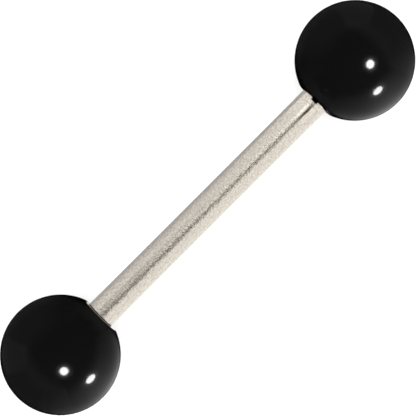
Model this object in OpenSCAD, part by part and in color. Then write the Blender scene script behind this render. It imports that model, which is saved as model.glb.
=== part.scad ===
// Straight tongue barbell: a steel post with a thread on each end, and two acrylic balls that screw on.
// Sizes are in millimetres. The post lies along X, +Z is up, and the origin is the middle of the post,
// on its axis. The barbell lies as it does on a table, on its two balls.

/* [Post] */
// Diameter of the plain shank
post_d = 1.63; // [1.2:0.01:2.4]
// Length of the plain shank, from shoulder to shoulder
shank_len = 16; // [8:0.5:32]
// Chamfer on each shoulder of the shank
shoulder_chamfer = 0.03; // [0.01:0.01:0.06]
// Radius of the round nick in the top of the right shoulder
nick_r = 0.2; // [0.1:0.05:0.25]
// How far past the shoulder the nick's centre lies
nick_past = 0.05; // [0:0.01:0.1]

/* [Thread] */
// Outer diameter of the thread, a little less than the rod that it is cut in
thread_d = 1.5; // [1.1:0.1:2.3]
// Pitch of the thread
thread_pitch = 0.35; // [0.25:0.05:0.5]
// Length of each threaded end, from its shoulder to its tip
thread_len = 3; // [2:0.1:4]
// Plain neck between a shoulder and the thread, and between the thread and the tip
thread_neck = 0.12; // [0.1:0.01:0.3]

/* [Balls] */
// Diameter of each ball
ball_d = 6.35; // [5:0.05:9]
// Diameter of the flat round the ball's hole
flat_d = 2.3; // [2:0.05:3.5]
// Bevel round the mouth of the hole, narrow enough for the shoulder to seat on the flat
mouth_bevel = 0.01; // [0.01:0.01:0.1]
// Depth that the hole goes past the tip of the thread
hole_spare = 0.3; // [0.1:0.05:0.6]

/* [Fit] */
// Radial clearance of the thread in the ball's hole
thread_clearance = 0.02; // [0.01:0.01:0.08]
// Gap left between a shoulder and the flat that it seats on
seat_gap = 0.01; // [0.01:0.01:0.05]

/* [Hidden] */

FN = 96;
// Overshoot of a cut, and depth that a joined piece is sunk in
eps = 0.02;

// A 60 degree thread is this share of its pitch deep, and its ridge is this wide at its foot and crest
thread_depth = 0.6134 * thread_pitch;
ridge_foot = 0.75 * thread_pitch;
ridge_crest = 0.125 * thread_pitch;
root_r = thread_d / 2 - thread_depth;
// Sections in one turn of the ridge, and turns over which it rises out of the core at each end
turn_sections = 18;
rise_turns = 0.75;

hole_r = thread_d / 2 + thread_clearance;
// From the centre of a ball to its flat, and from the flat to the floor of its hole
flat_offset = sqrt(pow(ball_d / 2, 2) - pow(flat_d / 2, 2));
hole_depth = thread_len - seat_gap + hole_spare;
// A drill leaves a point of 118 degrees
drill_point = hole_r / tan(59);

flat_x = shank_len / 2 + seat_gap;

// One section of the ridge, a trapezium with its foot sunk in the core, at a number of turns along it
function ridge_section(turns, all_turns, start_z) =
    let (
        rise = min(1, turns / rise_turns, (all_turns - turns) / rise_turns),
        crest_r = root_r - eps / 2 + (thread_depth + eps / 2) * rise,
        z = start_z + turns * thread_pitch,
        a = 360 * turns
    )
    [for (corner = [[root_r - eps, -ridge_foot / 2], [crest_r, -ridge_crest / 2],
                    [crest_r, ridge_crest / 2], [root_r - eps, ridge_foot / 2]])
        [corner[0] * cos(a), corner[0] * sin(a), z + corner[1]]];

// The helical ridge of the thread, between two heights on its core
module ridge(low_z, high_z) {
    start_z = low_z + ridge_foot / 2;
    turns = (high_z - low_z - ridge_foot) / thread_pitch;
    count = ceil(turns * turn_sections);
    sections = [for (i = [0 : count]) ridge_section(turns * i / count, turns, start_z)];
    sides = [for (i = [0 : count - 1]) for (k = [0 : 3])
        [4 * i + k, 4 * i + (k + 1) % 4, 4 * (i + 1) + (k + 1) % 4, 4 * (i + 1) + k]];
    ends = [[3, 2, 1, 0], [for (k = [0 : 3]) 4 * count + k]];
    polyhedron(points = [for (section = sections) for (point = section) point],
        faces = concat(sides, ends), convexity = 10);
}

// One threaded end, standing up Z from its shoulder at zero
module threaded_end() {
    tip_r = root_r - thread_neck;
    translate([0, 0, -eps]) cylinder(r = root_r, h = thread_len - thread_neck + eps, $fn = FN);
    translate([0, 0, thread_len - thread_neck])
        cylinder(r1 = root_r, r2 = tip_r, h = thread_neck, $fn = FN);
    ridge(thread_neck, thread_len - thread_neck);
}

// The plain shank, standing up Z, centred on zero
module shank() {
    plain_len = shank_len - 2 * shoulder_chamfer;
    cylinder(d = post_d, h = plain_len, center = true, $fn = FN);
    for (end = [0, 1])
        mirror([0, 0, end]) translate([0, 0, plain_len / 2])
            cylinder(d1 = post_d, d2 = post_d - 2 * shoulder_chamfer, h = shoulder_chamfer, $fn = FN);
}

// The steel rod: shank, nick and both threads, which are one piece
module post() {
    color("silver") difference() {
        union() {
            rotate([0, 90, 0]) shank();
            for (side = [-1, 1])
                translate([side * shank_len / 2, 0, 0]) rotate([0, side * 90, 0]) threaded_end();
        }
        translate([shank_len / 2 + nick_past, 0, post_d / 2]) sphere(r = nick_r, $fn = FN);
    }
}

// A ball with its flat in the plane x = 0 and its body towards +X. It is turned about the axis of its
// hole, so its poles lie on that axis and its seam is at the top.
module ball() {
    difference() {
        translate([flat_offset, 0, 0]) rotate([0, -90, 0]) sphere(d = ball_d, $fn = FN);
        translate([-ball_d, -ball_d / 2, -ball_d / 2]) cube(ball_d);
        rotate([0, 90, 0]) {
            translate([0, 0, -eps])
                cylinder(r1 = hole_r + mouth_bevel + eps, r2 = hole_r, h = mouth_bevel + eps, $fn = FN);
            cylinder(r = hole_r, h = hole_depth, $fn = FN);
            translate([0, 0, hole_depth])
                cylinder(r1 = hole_r, r2 = 0, h = drill_point, $fn = FN);
        }
    }
}

// The ball on the post's right end
module right_ball() {
    color([0.05, 0.05, 0.05]) translate([flat_x, 0, 0]) ball();
}

// The ball on the post's left end, the same one turned round
module left_ball() {
    color([0.05, 0.05, 0.05]) translate([-flat_x, 0, 0]) rotate([0, 0, 180]) ball();
}

post();
left_ball();
right_ball();
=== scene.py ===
import math

import bpy
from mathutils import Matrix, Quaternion, Vector


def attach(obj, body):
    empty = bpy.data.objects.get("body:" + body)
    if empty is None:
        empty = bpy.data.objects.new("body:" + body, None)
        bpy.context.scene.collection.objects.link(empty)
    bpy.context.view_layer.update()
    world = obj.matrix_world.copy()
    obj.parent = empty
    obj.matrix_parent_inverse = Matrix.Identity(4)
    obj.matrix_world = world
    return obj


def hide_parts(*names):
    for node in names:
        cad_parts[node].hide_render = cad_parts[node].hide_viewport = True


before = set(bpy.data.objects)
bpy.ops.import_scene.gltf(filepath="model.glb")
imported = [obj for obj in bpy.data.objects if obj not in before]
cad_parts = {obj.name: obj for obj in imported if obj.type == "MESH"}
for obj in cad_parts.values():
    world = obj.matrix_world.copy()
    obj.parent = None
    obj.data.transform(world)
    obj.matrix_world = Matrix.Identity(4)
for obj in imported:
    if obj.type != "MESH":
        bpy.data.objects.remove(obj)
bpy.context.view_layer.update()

scene = bpy.context.scene


# Post. One rod of surgical steel, drawn to 1.63 mm and blasted to a fine satin. Each end is turned down and
# gets a fine right-hand thread from a die, and the right shoulder has a small nick from that. Both balls
# screw onto it, and all the sizes here are in millimetres.
POST_D = 1.63
SHANK_LEN = 16.0
SHOULDER_CHAMFER = 0.03
NICK_R = 0.2
NICK_PAST = 0.05
THREAD_D = 1.5
THREAD_PITCH = 0.35
THREAD_LEN = 3.0
THREAD_NECK = 0.12
# A 60 degree thread is this deep, and its ridge is this wide at its foot and at its crest
THREAD_DEPTH = 0.6134 * THREAD_PITCH
RIDGE_FOOT = 0.75 * THREAD_PITCH
RIDGE_CREST = 0.125 * THREAD_PITCH
ROOT_R = THREAD_D / 2 - THREAD_DEPTH


def linear(sheet_hex):
    """An sRGB hex colour as the linear red, green, blue and alpha that shaders use."""
    parts = [int(sheet_hex[i:i + 2], 16) / 255 for i in (1, 3, 5)]
    return tuple(c / 12.92 if c <= 0.04045 else ((c + 0.055) / 1.055) ** 2.4 for c in parts) + (1.0,)


def add(tree, kind, sockets=None, **settings):
    """Adds a node with its settings. A socket takes a value, a node, an output, or a list of them to join."""
    made = tree.nodes.new(kind)
    for name, value in settings.items():
        setattr(made, name, value)
    for key, value in (sockets or {}).items():
        for source in value if isinstance(value, list) else [value]:
            if isinstance(source, bpy.types.Node):
                source = next(out for out in source.outputs if out.enabled)
            if isinstance(source, bpy.types.NodeSocket):
                tree.links.new(source, made.inputs[key])
            else:
                made.inputs[key].default_value = source
    return made


def new_tree(name, inputs):
    """An empty tree that gives one mesh, with its named inputs as label, socket kind and value."""
    tree = bpy.data.node_groups.new(name, "GeometryNodeTree")
    for label, kind, value in inputs:
        socket = tree.interface.new_socket(label, in_out="INPUT", socket_type="NodeSocket" + kind)
        if value is not None:
            socket.default_value = value
    tree.interface.new_socket("Mesh", in_out="OUTPUT", socket_type="NodeSocketGeometry")
    return tree, add(tree, "NodeGroupInput").outputs


def shape(name, tree, values):
    """Runs a tree with these inputs and keeps what it makes as a plain mesh of one material."""
    blank = bpy.data.objects.new(name + "_blank", bpy.data.meshes.new(name + "_blank"))
    scene.collection.objects.link(blank)
    modifier = blank.modifiers.new("Shape", "NODES")
    modifier.node_group = tree
    for item in tree.interface.items_tree:
        if item.name in values:
            modifier[item.identifier] = values[item.name]
    graph = bpy.context.evaluated_depsgraph_get()
    mesh = bpy.data.meshes.new_from_object(blank.evaluated_get(graph), depsgraph=graph)
    bpy.data.objects.remove(blank)
    finish = mesh.materials[-1]
    mesh.materials.clear()
    mesh.materials.append(finish)
    piece = bpy.data.objects.new(name, mesh)
    scene.collection.objects.link(piece)
    return piece


def turning(name, corners):
    """The outline of a turned piece, from corners of radius, height along the axis, and rounding."""
    outline = bpy.data.curves.new(name, "CURVE")
    outline.dimensions = "3D"
    spline = outline.splines.new("POLY")
    spline.points.add(len(corners) - 1)
    for point, (radius, height, rounding) in zip(spline.points, corners):
        point.co = (radius, height, 0, 1)
        point.radius = rounding
    made = bpy.data.objects.new(name, outline)
    scene.collection.objects.link(made)
    return made


# Turns an outline about Z. The sweep goes round a circle of 1 mm radius and hangs the heights downwards, so
# the outline is moved in by 1 mm first, and what comes out is turned over.
turned, given = new_tree("Turned solid", [("Outline", "Object", None), ("Sides", "Int", 96)])
outline = add(turned, "GeometryNodeObjectInfo", {"Object": given["Outline"]})
rounded = add(turned, "GeometryNodeFilletCurve", {
    "Curve": outline.outputs["Geometry"], "Count": 5, "Radius": add(turned, "GeometryNodeInputRadius"),
    "Limit Radius": True}, mode="POLY")
moved_in = add(turned, "GeometryNodeTransform", {"Geometry": rounded, "Translation": (-1, 0, 0)})
circle = add(turned, "GeometryNodeCurvePrimitiveCircle", {"Resolution": given["Sides"], "Radius": 1.0})
upright = add(turned, "GeometryNodeSetCurveNormal", {"Curve": circle.outputs["Curve"]}, mode="Z_UP")
swept = add(turned, "GeometryNodeCurveToMesh", {"Curve": upright, "Profile Curve": moved_in})
closed = add(turned, "GeometryNodeMergeByDistance", {"Geometry": swept, "Distance": 0.0005})
stood_up = add(turned, "GeometryNodeTransform", {"Geometry": closed, "Rotation": (math.pi, 0, 0)})
add(turned, "NodeGroupOutput", {"Mesh": stood_up})

# Sweeps the ridge of a right-hand thread up Z. Side is 1 for a screw's ridge, which stands out from its wall,
# and -1 for a nut's, which stands in. It rises out of the wall over part of a turn at each end.
ridge, given = new_tree("Thread ridge", [
    ("Wall radius", "Float", 0.5), ("Side", "Float", 1.0), ("Depth", "Float", THREAD_DEPTH),
    ("Foot", "Float", RIDGE_FOOT), ("Crest", "Float", RIDGE_CREST), ("Pitch", "Float", THREAD_PITCH),
    ("Start", "Float", 0.0), ("Turns", "Float", 7.0), ("Rise turns", "Float", 0.75)])
spiral = add(ridge, "GeometryNodeCurveSpiral", {
    "Resolution": 32, "Rotations": given["Turns"], "Start Radius": given["Wall radius"],
    "End Radius": given["Wall radius"], "Reverse": True,
    "Height": add(ridge, "ShaderNodeMath", {0: given["Turns"], 1: given["Pitch"]}, operation="MULTIPLY")})
upright = add(ridge, "GeometryNodeSetCurveNormal", {"Curve": spiral}, mode="Z_UP")
along = add(ridge, "GeometryNodeSplineParameter").outputs["Factor"]
back_along = add(ridge, "ShaderNodeMath", {0: 1.0, 1: along}, operation="SUBTRACT")
from_end = add(ridge, "ShaderNodeMath", {0: along, 1: back_along}, operation="MINIMUM")
turns_from_end = add(ridge, "ShaderNodeMath", {0: from_end, 1: given["Turns"]}, operation="MULTIPLY")
rise = add(ridge, "ShaderNodeMath", {0: turns_from_end, 1: given["Rise turns"]}, operation="DIVIDE")
full_rise = add(ridge, "ShaderNodeClamp", {"Value": rise, "Min": 0.02, "Max": 1.0})
section = add(ridge, "GeometryNodeCurvePrimitiveQuadrilateral", {
    "Height": given["Depth"], "Bottom Width": given["Foot"], "Top Width": given["Crest"], "Offset": 0.0},
    mode="TRAPEZOID")
half_depth = add(ridge, "ShaderNodeMath", {0: given["Depth"], 1: 0.5}, operation="MULTIPLY")
outwards = add(ridge, "ShaderNodeMath", {0: half_depth, 1: given["Side"]}, operation="MULTIPLY")
quarter_turn = add(ridge, "ShaderNodeMath", {0: -math.pi / 2, 1: given["Side"]}, operation="MULTIPLY")
turned_section = add(ridge, "GeometryNodeTransform", {
    "Geometry": section, "Translation": add(ridge, "ShaderNodeCombineXYZ", {"X": outwards}),
    "Rotation": add(ridge, "ShaderNodeCombineXYZ", {"Z": quarter_turn})})
swept = add(ridge, "GeometryNodeCurveToMesh", {
    "Curve": upright, "Profile Curve": turned_section, "Scale": full_rise, "Fill Caps": True})
started = add(ridge, "GeometryNodeTransform", {
    "Geometry": swept, "Translation": add(ridge, "ShaderNodeCombineXYZ", {"Z": given["Start"]})})
add(ridge, "NodeGroupOutput", {"Mesh": started})

# Lays a solid that was made in millimetres up Z along X, in metres. Its corners stay crisp, its curves are
# smooth, and it gets its material.
lay, given = new_tree("Lay along the post", [
    ("Solid", "Geometry", None), ("Side", "Float", 1.0), ("Away", "Float", 0.0),
    ("Finish", "Material", None)])
quarter_turn = add(lay, "ShaderNodeMath", {0: math.pi / 2, 1: given["Side"]}, operation="MULTIPLY")
away = add(lay, "ShaderNodeMath", {0: given["Away"], 1: given["Side"]}, operation="MULTIPLY")
laid = add(lay, "GeometryNodeTransform", {
    "Geometry": given["Solid"], "Rotation": add(lay, "ShaderNodeCombineXYZ", {"Y": quarter_turn}),
    "Translation": add(lay, "ShaderNodeCombineXYZ", {"X": away})})
in_metres = add(lay, "GeometryNodeTransform", {"Geometry": laid, "Scale": (0.001, 0.001, 0.001)})
smooth = add(lay, "GeometryNodeSetShadeSmooth", {"Geometry": in_metres, "Shade Smooth": True})
CORNER_ANGLE = math.radians(16)
is_corner = add(lay, "FunctionNodeCompare", {
    0: add(lay, "GeometryNodeInputMeshEdgeAngle"), 1: CORNER_ANGLE}, operation="GREATER_THAN")
crisp = add(lay, "GeometryNodeSetShadeSmooth", {
    "Geometry": smooth, "Selection": is_corner, "Shade Smooth": False}, domain="EDGE")
real = add(lay, "GeometryNodeRealizeInstances", {"Geometry": crisp})
add(lay, "NodeGroupOutput", {"Mesh": add(lay, "GeometryNodeSetMaterial", {
    "Geometry": real, "Material": given["Finish"]})})

# The rod is turned, gets a ridge at each end and loses the nick. Each ridge starts a little inside the core,
# so that the two become one solid.
RIDGE_SUNK = 0.02
ROUND_SIDES = 128
rod, given = new_tree("Threaded rod", [
    ("Outline", "Object", None), ("Root radius", "Float", ROOT_R - RIDGE_SUNK),
    ("Thread depth", "Float", THREAD_DEPTH + RIDGE_SUNK), ("Pitch", "Float", THREAD_PITCH),
    ("Thread start", "Float", 8.0), ("Turns", "Float", 7.0), ("Nick place", "Vector", None),
    ("Nick radius", "Float", NICK_R), ("Finish", "Material", None)])
core = add(rod, "GeometryNodeGroup", {
    "Outline": given["Outline"], "Sides": ROUND_SIDES}, node_tree=turned)
right_ridge = add(rod, "GeometryNodeGroup", {
    "Wall radius": given["Root radius"], "Depth": given["Thread depth"], "Pitch": given["Pitch"],
    "Start": given["Thread start"], "Turns": given["Turns"]}, node_tree=ridge)
left_ridge = add(rod, "GeometryNodeTransform", {"Geometry": right_ridge, "Rotation": (0, math.pi, 0)})
threaded = add(rod, "GeometryNodeMeshBoolean", {
    "Mesh 2": [core, right_ridge, left_ridge]}, operation="UNION", solver="EXACT")
nick_tool = add(rod, "GeometryNodeMeshUVSphere", {
    "Segments": 32, "Rings": 24, "Radius": given["Nick radius"]})
nick = add(rod, "GeometryNodeTransform", {"Geometry": nick_tool, "Translation": given["Nick place"]})
nicked = add(rod, "GeometryNodeMeshBoolean", {"Mesh 1": threaded, "Mesh 2": nick}, solver="EXACT")
add(rod, "NodeGroupOutput", {"Mesh": add(rod, "GeometryNodeGroup", {
    "Solid": nicked, "Finish": given["Finish"]}, node_tree=lay)})

# 316L surgical steel, cold drawn, then blasted with fine beads. That gives the eye a warm pale grey metal
# with a frosted grain of shallow dents, faint lengthwise drawing lines, and one dark line where the dimmest
# light shows in it. A band by the right shoulder, where it was gripped, is burnished brighter and sharper.
steel = bpy.data.materials.new("satin_316L_surgical_steel")
steel.use_nodes = True
tree = steel.node_tree
tree.nodes.clear()
place = add(tree, "ShaderNodeTexCoord").outputs["Object"]
# From metres to millimetres, so that each scale below is in features for each millimetre
in_mm = add(tree, "ShaderNodeMapping", {"Vector": place, "Scale": (1000, 1000, 1000)})
# Bead dents are about 0.03 mm wide, too fine to show in the render, so they are drawn 0.1 mm wide
dents = add(tree, "ShaderNodeTexNoise", {"Vector": in_mm, "Scale": 10.0, "Detail": 2.0, "Roughness": 0.6})
# Drawing lines are about 0.1 mm apart and run on for 1 to 2 mm
lengthwise = add(tree, "ShaderNodeMapping", {"Vector": in_mm, "Scale": (0.6, 10.0, 10.0)})
lines = add(tree, "ShaderNodeTexNoise", {"Vector": lengthwise, "Scale": 1.0, "Detail": 2.0})
relief = add(tree, "ShaderNodeMix", {"Factor": 0.1, "A": dents, "B": lines})
# The burnished band runs round the rod from 6.7 to 7.5 mm, and fades out over 0.25 mm at each end
BAND_AT = 7.1
length = add(tree, "ShaderNodeSeparateXYZ", {"Vector": in_mm}).outputs["X"]
from_band = add(tree, "ShaderNodeMath", {0: length, 1: BAND_AT}, operation="SUBTRACT")
from_band = add(tree, "ShaderNodeMath", {0: from_band}, operation="ABSOLUTE")
frosting = add(tree, "ShaderNodeMapRange", {
    "Value": from_band, "From Min": 0.4, "From Max": 0.65, "To Min": 0.25, "To Max": 1.0})
DENT_DEPTH = 0.025 * 0.001
bump = add(tree, "ShaderNodeBump", {"Height": relief, "Strength": frosting, "Distance": DENT_DEPTH})
roughness = add(tree, "ShaderNodeMapRange", {
    "Value": frosting, "From Min": 0.25, "From Max": 1.0, "To Min": 0.08, "To Max": 0.12})
mottle = add(tree, "ShaderNodeTexNoise", {"Vector": in_mm, "Scale": 9.0, "Detail": 2.0, "Roughness": 0.6})
patchy = add(tree, "ShaderNodeMapRange", {"Value": mottle, "From Min": 0.3, "From Max": 0.7})
# Sockets 0, 6 and 7 of a colour mix are its factor and its two colours
clean = add(tree, "ShaderNodeMix", {
    0: patchy, 6: linear("#D2C9BD"), 7: linear("#ECE5DA")}, data_type="RGBA")
# A short painted dark reflection lies on top of the band, in front of the middle
PAINTED_DARK_SPOT_AT = (7.18, -0.11, 0.8)
PAINTED_DARK_SPOT_REACH = (0.24, 0.08, 0.3)
from_dark_spot = add(tree, "ShaderNodeVectorMath", {0: in_mm, 1: PAINTED_DARK_SPOT_AT}, operation="SUBTRACT")
in_dark_spot = add(tree, "ShaderNodeVectorMath", {0: from_dark_spot, 1: PAINTED_DARK_SPOT_REACH}, operation="DIVIDE")
off_dark_spot = add(tree, "ShaderNodeMapRange", {
    "Value": add(tree, "ShaderNodeVectorMath", {0: in_dark_spot}, operation="LENGTH").outputs["Value"],
    "From Min": 0.5, "From Max": 1.1})
with_dark_spot = add(tree, "ShaderNodeMix", {
    0: off_dark_spot, 6: linear("#B0A290"), 7: clean}, data_type="RGBA")
# The nick gets painted shade, spread over a small square round it, so that it looks nearly black
NICK_SHADE_REACH = (0.22, 0.195, 0.22)
from_nick = add(tree, "ShaderNodeVectorMath", {
    0: in_mm, 1: (SHANK_LEN / 2 + NICK_PAST, 0, POST_D / 2)}, operation="SUBTRACT")
in_nick_shade = add(tree, "ShaderNodeVectorMath", {0: from_nick, 1: NICK_SHADE_REACH}, operation="DIVIDE")
each_way = add(tree, "ShaderNodeSeparateXYZ", {
    "Vector": add(tree, "ShaderNodeVectorMath", {0: in_nick_shade}, operation="ABSOLUTE")})
farthest = add(tree, "ShaderNodeMath", {
    0: each_way.outputs["X"], 1: each_way.outputs["Y"]}, operation="MAXIMUM")
farthest = add(tree, "ShaderNodeMath", {0: farthest, 1: each_way.outputs["Z"]}, operation="MAXIMUM")
off_nick = add(tree, "ShaderNodeMapRange", {"Value": farthest, "From Min": 0.95, "From Max": 1.05})
# A thin line of the same painted shade lies in the corner between each shoulder and its ball
from_middle = add(tree, "ShaderNodeMath", {0: length}, operation="ABSOLUTE")
past_shoulder = add(tree, "ShaderNodeMath", {0: from_middle, 1: SHANK_LEN / 2}, operation="SUBTRACT")
off_shoulder = add(tree, "ShaderNodeMapRange", {
    "Value": add(tree, "ShaderNodeMath", {0: past_shoulder}, operation="ABSOLUTE"),
    "From Min": 0.03, "From Max": 0.045})
off_painted_shade = add(tree, "ShaderNodeMath", {0: off_nick, 1: off_shoulder}, operation="MINIMUM")
# Painted shade in the nick and along each shoulder darkens the steel to near black here
tint = add(tree, "ShaderNodeMix", {
    0: off_painted_shade, 6: linear("#120D09"), 7: with_dark_spot}, data_type="RGBA")
metal = add(tree, "ShaderNodeBsdfPrincipled", {
    "Base Color": tint, "Metallic": 1.0, "Roughness": roughness, "Normal": bump})
add(tree, "ShaderNodeOutputMaterial", {"Surface": metal})

# Both ends are the same. Each corner is a radius, a place along the rod and a rounding.
tip = SHANK_LEN / 2 + THREAD_LEN
right_half = [
    (POST_D / 2, SHANK_LEN / 2 - SHOULDER_CHAMFER, 0), (POST_D / 2 - SHOULDER_CHAMFER, SHANK_LEN / 2, 0),
    (ROOT_R, SHANK_LEN / 2, 0), (ROOT_R, tip - THREAD_NECK, 0.03), (ROOT_R - THREAD_NECK, tip, 0.02),
    (0, tip, 0)]
left_half = [(radius, -height, rounding) for radius, height, rounding in reversed(right_half)]
rod_outline = turning("rod_outline", left_half + right_half)
post = shape("post_steel", rod, {
    "Outline": rod_outline, "Thread start": SHANK_LEN / 2 + THREAD_NECK + RIDGE_FOOT / 2,
    "Turns": (THREAD_LEN - 2 * THREAD_NECK - RIDGE_FOOT) / THREAD_PITCH,
    "Nick place": (-POST_D / 2, 0, SHANK_LEN / 2 + NICK_PAST), "Finish": steel})
bpy.data.objects.remove(rod_outline)
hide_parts("post")
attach(post, "post")


# Balls. Each is a 6.35 mm ball of black cast acrylic, turned, then tumbled to a high gloss. A hole is drilled
# and tapped in a small flat, and the ball is screwed on until the flat meets the post's shoulder.
BALL_D = 6.35
FLAT_D = 2.3
FLAT_ROUND = 0.02
MOUTH_BEVEL = 0.01
HOLE_SPARE = 0.3
THREAD_CLEARANCE = 0.02
SEAT_GAP = 0.01
HOLE_R = THREAD_D / 2 + THREAD_CLEARANCE
HOLE_DEPTH = THREAD_LEN - SEAT_GAP + HOLE_SPARE
flat_x = SHANK_LEN / 2 + SEAT_GAP
ball_r = BALL_D / 2
lip_angle = math.asin(FLAT_D / BALL_D)
flat_offset = ball_r * math.cos(lip_angle)
# The nut's ridge fills the groove of the post's thread, all but the clearance
NUT_DEPTH = THREAD_DEPTH + RIDGE_SUNK
NUT_FOOT = 0.87 * THREAD_PITCH
NUT_CREST = 0.19 * THREAD_PITCH

tapped, given = new_tree("Tapped ball", [
    ("Outline", "Object", None), ("Hole radius", "Float", HOLE_R), ("Thread depth", "Float", NUT_DEPTH),
    ("Foot", "Float", NUT_FOOT), ("Crest", "Float", NUT_CREST), ("Pitch", "Float", THREAD_PITCH),
    ("Thread start", "Float", 0.4), ("Turns", "Float", 7.0), ("Side", "Float", 1.0),
    ("Away", "Float", 8.0), ("Finish", "Material", None)])
body = add(tapped, "GeometryNodeGroup", {
    "Outline": given["Outline"], "Sides": ROUND_SIDES}, node_tree=turned)
nut_ridge = add(tapped, "GeometryNodeGroup", {
    "Wall radius": given["Hole radius"], "Side": -1.0, "Depth": given["Thread depth"], "Foot": given["Foot"],
    "Crest": given["Crest"], "Pitch": given["Pitch"], "Start": given["Thread start"],
    "Turns": given["Turns"]}, node_tree=ridge)
one_ball = add(tapped, "GeometryNodeMeshBoolean", {
    "Mesh 2": [body, nut_ridge]}, operation="UNION", solver="EXACT")
add(tapped, "NodeGroupOutput", {"Mesh": add(tapped, "GeometryNodeGroup", {
    "Solid": one_ball, "Side": given["Side"], "Away": given["Away"], "Finish": given["Finish"]},
    node_tree=lay)})

# Cast acrylic, dyed black all through and tumbled to a gloss. That gives the eye a deep black with small
# sharp highlights, a faint bloom round them from fine wear, and a pale rim where light comes in low.
acrylic = bpy.data.materials.new("polished_black_cast_acrylic")
acrylic.use_nodes = True
tree = acrylic.node_tree
tree.nodes.clear()
place = add(tree, "ShaderNodeTexCoord").outputs["Object"]
in_mm = add(tree, "ShaderNodeMapping", {"Vector": place, "Scale": (1000, 1000, 1000)})
# Tumbling leaves the surface very slightly uneven over 1 to 2 mm
unevenness = add(tree, "ShaderNodeTexNoise", {"Vector": in_mm, "Scale": 0.8, "Detail": 1.0})
WAVE_DEPTH = 0.004 * 0.001
bump = add(tree, "ShaderNodeBump", {"Height": unevenness, "Strength": 1.0, "Distance": WAVE_DEPTH})
wear = add(tree, "ShaderNodeTexNoise", {"Vector": in_mm, "Scale": 3.0, "Detail": 4.0, "Roughness": 0.7})
roughness = add(tree, "ShaderNodeMapRange", {
    "Value": wear, "From Min": 0.35, "From Max": 0.65, "To Min": 0.08, "To Max": 0.12})
# The left ball's flat is painted a matt grey in the corner above the post, as a painted reflection of the
# post's shaded underside
at = add(tree, "ShaderNodeSeparateXYZ", {"Vector": in_mm})
from_flat = add(tree, "ShaderNodeMath", {0: at.outputs["X"], 1: flat_x}, operation="ADD")
off_flat = add(tree, "ShaderNodeMapRange", {
    "Value": add(tree, "ShaderNodeMath", {0: from_flat}, operation="ABSOLUTE"),
    "From Min": 0.003, "From Max": 0.006})
sideways = add(tree, "ShaderNodeMath", {0: at.outputs["Y"]}, operation="ABSOLUTE")
past_post = add(tree, "ShaderNodeMapRange", {
    "Value": sideways, "From Min": POST_D / 2 - 0.04, "From Max": POST_D / 2 + 0.02})
below = add(tree, "ShaderNodeMapRange", {"Value": at.outputs["Z"], "From Min": 0.1, "From Max": 0.0})
clear = add(tree, "ShaderNodeMath", {0: off_flat, 1: past_post}, operation="MAXIMUM")
clear = add(tree, "ShaderNodeMath", {0: clear, 1: below}, operation="MAXIMUM")
# The painted reflection's grey takes the place of the black there
black = add(tree, "ShaderNodeMix", {0: clear, 6: linear("#766C61"), 7: linear("#080808")}, data_type="RGBA")
gloss = add(tree, "ShaderNodeMix", {"Factor": clear, "A": 0.6, "B": roughness})
plastic = add(tree, "ShaderNodeBsdfPrincipled", {
    "Base Color": black, "Roughness": gloss, "IOR": 1.49, "Normal": bump})
add(tree, "ShaderNodeOutputMaterial", {"Surface": plastic})

# A drill leaves a point of 118 degrees
drill_point = HOLE_R / math.tan(math.radians(59))
ARC_STEPS = 60
arc = [lip_angle + (math.pi - lip_angle) * step / ARC_STEPS for step in range(1, ARC_STEPS)]
ball_outline = turning("ball_outline", [
    (0, HOLE_DEPTH + drill_point, 0), (HOLE_R, HOLE_DEPTH, 0), (HOLE_R, MOUTH_BEVEL, 0),
    (HOLE_R + MOUTH_BEVEL, 0, 0), (FLAT_D / 2, 0, FLAT_ROUND)]
    + [(max(0, ball_r * math.sin(a)), flat_offset - ball_r * math.cos(a), 0) for a in arc]
    + [(0, flat_offset + ball_r, 0)])
for name, side in (("left_ball", -1.0), ("right_ball", 1.0)):
    # Half a pitch on from the post's ridge
    nut_start = THREAD_NECK - SEAT_GAP + RIDGE_FOOT / 2 + THREAD_PITCH / 2
    ball = shape(name + "_acrylic", tapped, {
        "Outline": ball_outline, "Hole radius": HOLE_R + RIDGE_SUNK, "Thread start": nut_start,
        "Turns": (HOLE_DEPTH - HOLE_SPARE / 2 - nut_start) / THREAD_PITCH, "Side": side, "Away": flat_x,
        "Finish": acrylic})
    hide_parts(name)
    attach(ball, name)
bpy.data.objects.remove(ball_outline)


# Floor. A large sheet of white paper that both balls rest on. It is uncoated card, laid flat and lit until it
# is plain white.
FLOOR_SIDE = 1200
reach = FLOOR_SIDE / 2 * 0.001
floor_z = -ball_r * 0.001
floor_mesh = bpy.data.meshes.new("floor")
floor_mesh.from_pydata(
    [(-reach, -reach, floor_z), (reach, -reach, floor_z), (reach, reach, floor_z), (-reach, reach, floor_z)],
    [], [(0, 1, 2, 3)])
floor = bpy.data.objects.new("floor", floor_mesh)
scene.collection.objects.link(floor)
# Uncoated white card, with a faint mottle from its fibres. That gives the eye a flat white with no gloss.
paper = bpy.data.materials.new("matt_white_paper")
paper.use_nodes = True
tree = paper.node_tree
tree.nodes.clear()
place = add(tree, "ShaderNodeTexCoord").outputs["Object"]
in_mm = add(tree, "ShaderNodeMapping", {"Vector": place, "Scale": (1000, 1000, 1000)})
fibres = add(tree, "ShaderNodeTexNoise", {"Vector": in_mm, "Scale": 1.5, "Detail": 3.0})
tint = add(tree, "ShaderNodeMix", {0: fibres, 6: linear("#F4F4F3"), 7: linear("#FAFAF9")}, data_type="RGBA")
sheet = add(tree, "ShaderNodeBsdfPrincipled", {
    "Base Color": tint, "Roughness": 0.9, "Specular IOR Level": 0.0})
add(tree, "ShaderNodeOutputMaterial", {"Surface": sheet})
floor_mesh.materials.append(paper)
# The lights under it shine up through it onto the steel, and it keeps out of the balls' dark edges
floor.visible_glossy = False
floor.visible_shadow = False


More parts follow.
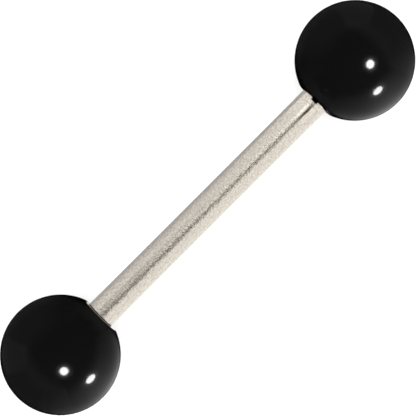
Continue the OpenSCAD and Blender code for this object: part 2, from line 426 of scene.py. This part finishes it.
# Lights. A white room makes the floor white. Soft strips round the post show only in the steel, and lamps,
# walls and a card show only in one ball each, so that every piece has its own reflections.
ROOM_STRENGTH = 1.85
world = bpy.data.worlds.new("white_room")
scene.world = world
world.use_nodes = True
tree = world.node_tree
tree.nodes.clear()
add(tree, "ShaderNodeOutputWorld", {"Surface": add(tree, "ShaderNodeBackground", {
    "Color": linear("#FFFFFF"), "Strength": ROOM_STRENGTH})})
world.cycles_visibility.glossy = False


def lit_only(piece):
    """A collection that holds the only piece that a light shines on."""
    group = bpy.data.collections.new("lit_" + piece.name)
    group.objects.link(piece)
    return group


def graded(tree, value, places):
    """A share of the brightness that runs straight from each of these places to the next."""
    low, high = places[0][0], places[-1][0]
    along = add(tree, "ShaderNodeMapRange", {"Value": value, "From Min": low, "From Max": high})
    ramp = add(tree, "ShaderNodeValToRGB", {"Fac": along})
    stops = ramp.color_ramp.elements
    while len(stops) < len(places):
        stops.new(0.5)
    for stop, (place, share) in zip(stops, places):
        stop.position = (place - low) / (high - low)
        stop.color = (share, share, share, 1)
    return ramp


def softbox(name, lit, at, aim, size, radiance, shape="RECTANGLE", along=None, sideways=None, upright=None,
            colour="#FFFFFF", roll=0):
    """A soft light at a point, turned to another, with its width and height in millimetres.

    Along, sideways and upright grade it, as pairs of a place on X, Y or Z and the share of the radiance that
    it has there. Roll turns it about its own axis, in degrees.
    """
    lamp = bpy.data.lights.new(name, "AREA")
    lamp.shape = shape
    lamp.size, lamp.size_y = size[0] * 0.001, size[1] * 0.001
    area = lamp.size * lamp.size_y * (math.pi / 4 if shape == "ELLIPSE" else 1)
    lamp.energy = radiance * math.pi * area
    lamp.color = linear(colour)[:3]
    if along or sideways or upright:
        lamp.use_nodes = True
        tree = lamp.node_tree
        tree.nodes.clear()
        place = add(tree, "ShaderNodeNewGeometry").outputs["Position"]
        in_mm = add(tree, "ShaderNodeVectorMath", {0: place, "Scale": 1000}, operation="SCALE")
        axes = add(tree, "ShaderNodeSeparateXYZ", {"Vector": in_mm})
        share = 1.0
        for axis, places in (("X", along), ("Y", sideways), ("Z", upright)):
            if places:
                share = add(tree, "ShaderNodeMath", {0: share, 1: graded(tree, axes.outputs[axis], places)},
                            operation="MULTIPLY")
        add(tree, "ShaderNodeOutputLight", {"Surface": add(tree, "ShaderNodeEmission", {"Strength": share})})
    made = bpy.data.objects.new(name, lamp)
    scene.collection.objects.link(made)
    made.location = Vector(at) * 0.001
    turn = (Vector(aim) - Vector(at)).to_track_quat("-Z", "Y") @ Quaternion((0, 0, 1), math.radians(roll))
    made.rotation_euler = turn.to_euler()
    made.visible_camera = False
    made.light_linking.receiver_collection = lit
    return made


# Each is a strip along the post: where its middle stands, in degrees from overhead towards -Y, how wide it
# is in degrees, its colour, and how bright it is for the left end, the middle, the right end and the
# burnished band. The warm dim one from 8 to 27 degrees makes the dark line.
STRIP_AWAY = 60
STRIP_LEN = 260
WHITE = "#FFFFFF"
WARM = "#FFF0E2"
steel_only = lit_only(post)
for angle, width, colour, (at_left, at_middle, at_right, at_band) in (
        (-160, 38, WHITE, (0.55, 0.55, 0.55, 0.55)),
        (-122, 38, WHITE, (0.49, 0.49, 0.49, 0.49)),
        (-82, 42, WHITE, (0.76, 0.6, 0.9, 0.98)),
        (-48, 26, WHITE, (0.9, 0.74, 0.93, 0.96)),
        (-27.5, 15, WHITE, (0.44, 0.62, 0.78, 1)),
        (-12.5, 15, WHITE, (0.54, 0.86, 1.2, 1.5)),
        (-1, 8, WHITE, (0.48, 0.92, 1.15, 0.75)),
        (5.5, 5, WHITE, (0.33, 1, 0.65, 0.1)),
        (17.5, 19, WARM, (0.15, 0.15, 0.25, 0.13)),
        (25, 4, WHITE, (0, 0, 0.85, 0.9)),
        (43, 32, WHITE, (0.95, 0.92, 1.05, 1.07)),
        (73, 28, WHITE, (0.96, 0.96, 0.96, 0.96)),
        (104, 34, WHITE, (1, 1, 1, 1)),
        (150, 58, WHITE, (1.05, 1.05, 1.05, 1.05))):
    a = math.radians(angle)
    at = (0, -STRIP_AWAY * math.sin(a), STRIP_AWAY * math.cos(a))
    across = 2 * STRIP_AWAY * math.tan(math.radians(width / 2))
    softbox("steel_light_%+d" % angle, steel_only, at, (0, 0, 0), (STRIP_LEN, across), 1.0, along=[
        (-STRIP_LEN / 2, at_left), (-8.5, at_left), (-3.5, at_middle), (3.5, at_middle), (8.5, at_right),
        (12, at_band), (STRIP_LEN / 2, at_band)], colour=colour)


def for_side(side, places):
    """Places on X that were chosen for the left ball, mirrored for the right one."""
    return places if side < 0 else [(-x, share) for x, share in reversed(places)]


# Each ball has a key lamp, which stands this way from it, and a low lamp at a place in front. A lamp is a
# white core in two rings of a faint bluish glow.
BALL_FROM_MIDDLE = 11
KEY_AWAY = 120
KEY_SIZE = 32
KEY_RADIANCE = 27
LOW_SIZE = (22.6, 17.7)
LOW_RADIANCE = 22
LOW_ROLL = 22
BLUISH = "#E6EDFF"
# The walls and the card are dim, and lie this far from the ball or, for the card, from the post
SIDE_WALL_AWAY = 150
INNER_WALL_AWAY = 230
BACK_WALL_AWAY = 150
CARD_AWAY = 78
left, right = bpy.data.objects["left_ball_acrylic"], bpy.data.objects["right_ball_acrylic"]
for ball, side, key_way, low_at in ((left, -1, (-0.187, -0.442, 0.878), (-0.8, -76, 15.6)),
                                    (right, 1, (0.16, -0.425, 0.891), (-1.3, -76, 17.6))):
    ball_x = side * BALL_FROM_MIDDLE
    key_at = Vector(key_way) * KEY_AWAY + Vector((ball_x, 0, 0))
    lit = lit_only(ball)
    for ring, (spread, share, colour) in enumerate((
            (1, 1, WHITE), (1.5, 0.022, BLUISH), (2.1, 0.007, BLUISH))):
        softbox("%s_key_%d" % (ball.name, ring), lit, key_at, (ball_x, 0, 0),
                (KEY_SIZE * spread, KEY_SIZE * spread), KEY_RADIANCE * share, "ELLIPSE", colour=colour)
        softbox("%s_low_%d" % (ball.name, ring), lit, low_at, (0, 0, 0),
                (LOW_SIZE[0] * spread, LOW_SIZE[1] * spread), LOW_RADIANCE * share, "ELLIPSE", colour=colour,
                roll=LOW_ROLL * side)
    wall_x = ball_x + side * SIDE_WALL_AWAY
    softbox(ball.name + "_side_wall", lit, (wall_x, 20, -60), (ball_x, 20, -60), (500, 560), 0.1, upright=[
        (-340, 0), (-250, 0.1), (-60, 0.4), (40, 0.6), (85, 1), (115, 0.8), (150, 0.4), (220, 0)])
    # Pale paper beside the post shows low in the side that faces the other ball
    wall_x = ball_x - side * INNER_WALL_AWAY
    softbox(ball.name + "_inner_wall", lit, (wall_x, 20, -170), (ball_x, 20, -170), (230, 340), 0.085,
            sideways=[(-95, 0), (-70, 0.9), (0, 1), (60, 0.7), (100, 0.25), (135, 0)],
            upright=[(-340, 0.25), (-200, 0.5), (-125, 0.9), (-85, 1), (-50, 0.65), (-25, 0.25), (0, 0)])
    softbox(ball.name + "_back_wall", lit, (ball_x, BACK_WALL_AWAY, -60), (ball_x, 0, -60), (700, 560), 0.055,
            along=for_side(side, [(-361, 1), (49, 1), (139, 0.25), (339, 0.6)]),
            upright=[(-340, 0.7), (-60, 0.9), (40, 1), (90, 0.8), (150, 0)])
    # The card in front is brightest opposite the post's middle, and reaches further past it than outwards
    softbox(ball.name + "_front_card", lit, (0, -CARD_AWAY, -150), (0, 0, -150), (440, 420), 0.72,
            along=for_side(side, [
                (-220, 0.02), (-140, 0.05), (-90, 0.2), (-60, 0.36), (-40, 0.6), (-25, 0.81), (-12, 0.99),
                (0, 1), (12, 0.89), (25, 0.69), (40, 0.56), (60, 0.4), (90, 0.3), (140, 0.17), (220, 0.1)]),
            upright=[
                (-360, 0), (-270, 0.15), (-235, 0.85), (-160, 0.96), (-110, 1), (-75, 0.93), (-55, 0.85),
                (-35, 0.79), (-18, 0.725), (-5, 0.67), (8, 0.58), (20, 0.42), (35, 0.18), (50, 0.04),
                (60, 0)])

# White paper right under a ball's flat shows in it: brightly in the left one, mostly in front of the post,
# and faintly in the right one
PAPER_WIDTH = 0.9
PAPER_Z = -3.3
for ball, where, x, y, across, radiance in (
        (left, "front", -7.6, -1.02, 0.36, 1.5),
        (left, "back", -7.6, 0.92, 0.2, 1.0),
        (right, "front", 7.6, -1.02, 0.36, 0.13)):
    softbox("%s_paper_%s" % (ball.name, where), lit_only(ball), (x, y, PAPER_Z), (x, y, 0),
            (PAPER_WIDTH, across), radiance)

# The balls are too dull right beside the post to show it
post.visible_glossy = False


# Camera. It looks straight down at the barbell, turned so that the post runs up to the right. Its place and
# the width of the picture at the post's height are in millimetres.
CAMERA_AWAY = 98
CAMERA_Y = -0.027
PICTURE_WIDTH = 21.93
lens = bpy.data.cameras.new("camera")
lens.sensor_width = 36
lens.lens = 36 * CAMERA_AWAY / PICTURE_WIDTH
lens.clip_start, lens.clip_end = 0.005, 10
camera = bpy.data.objects.new("camera", lens)
scene.collection.objects.link(camera)
camera.location = (0, CAMERA_Y * 0.001, CAMERA_AWAY * 0.001)
camera.rotation_euler = (0, 0, -math.pi / 4)
scene.camera = camera
scene.view_settings.view_transform = "Standard"
scene.view_settings.look = "None"
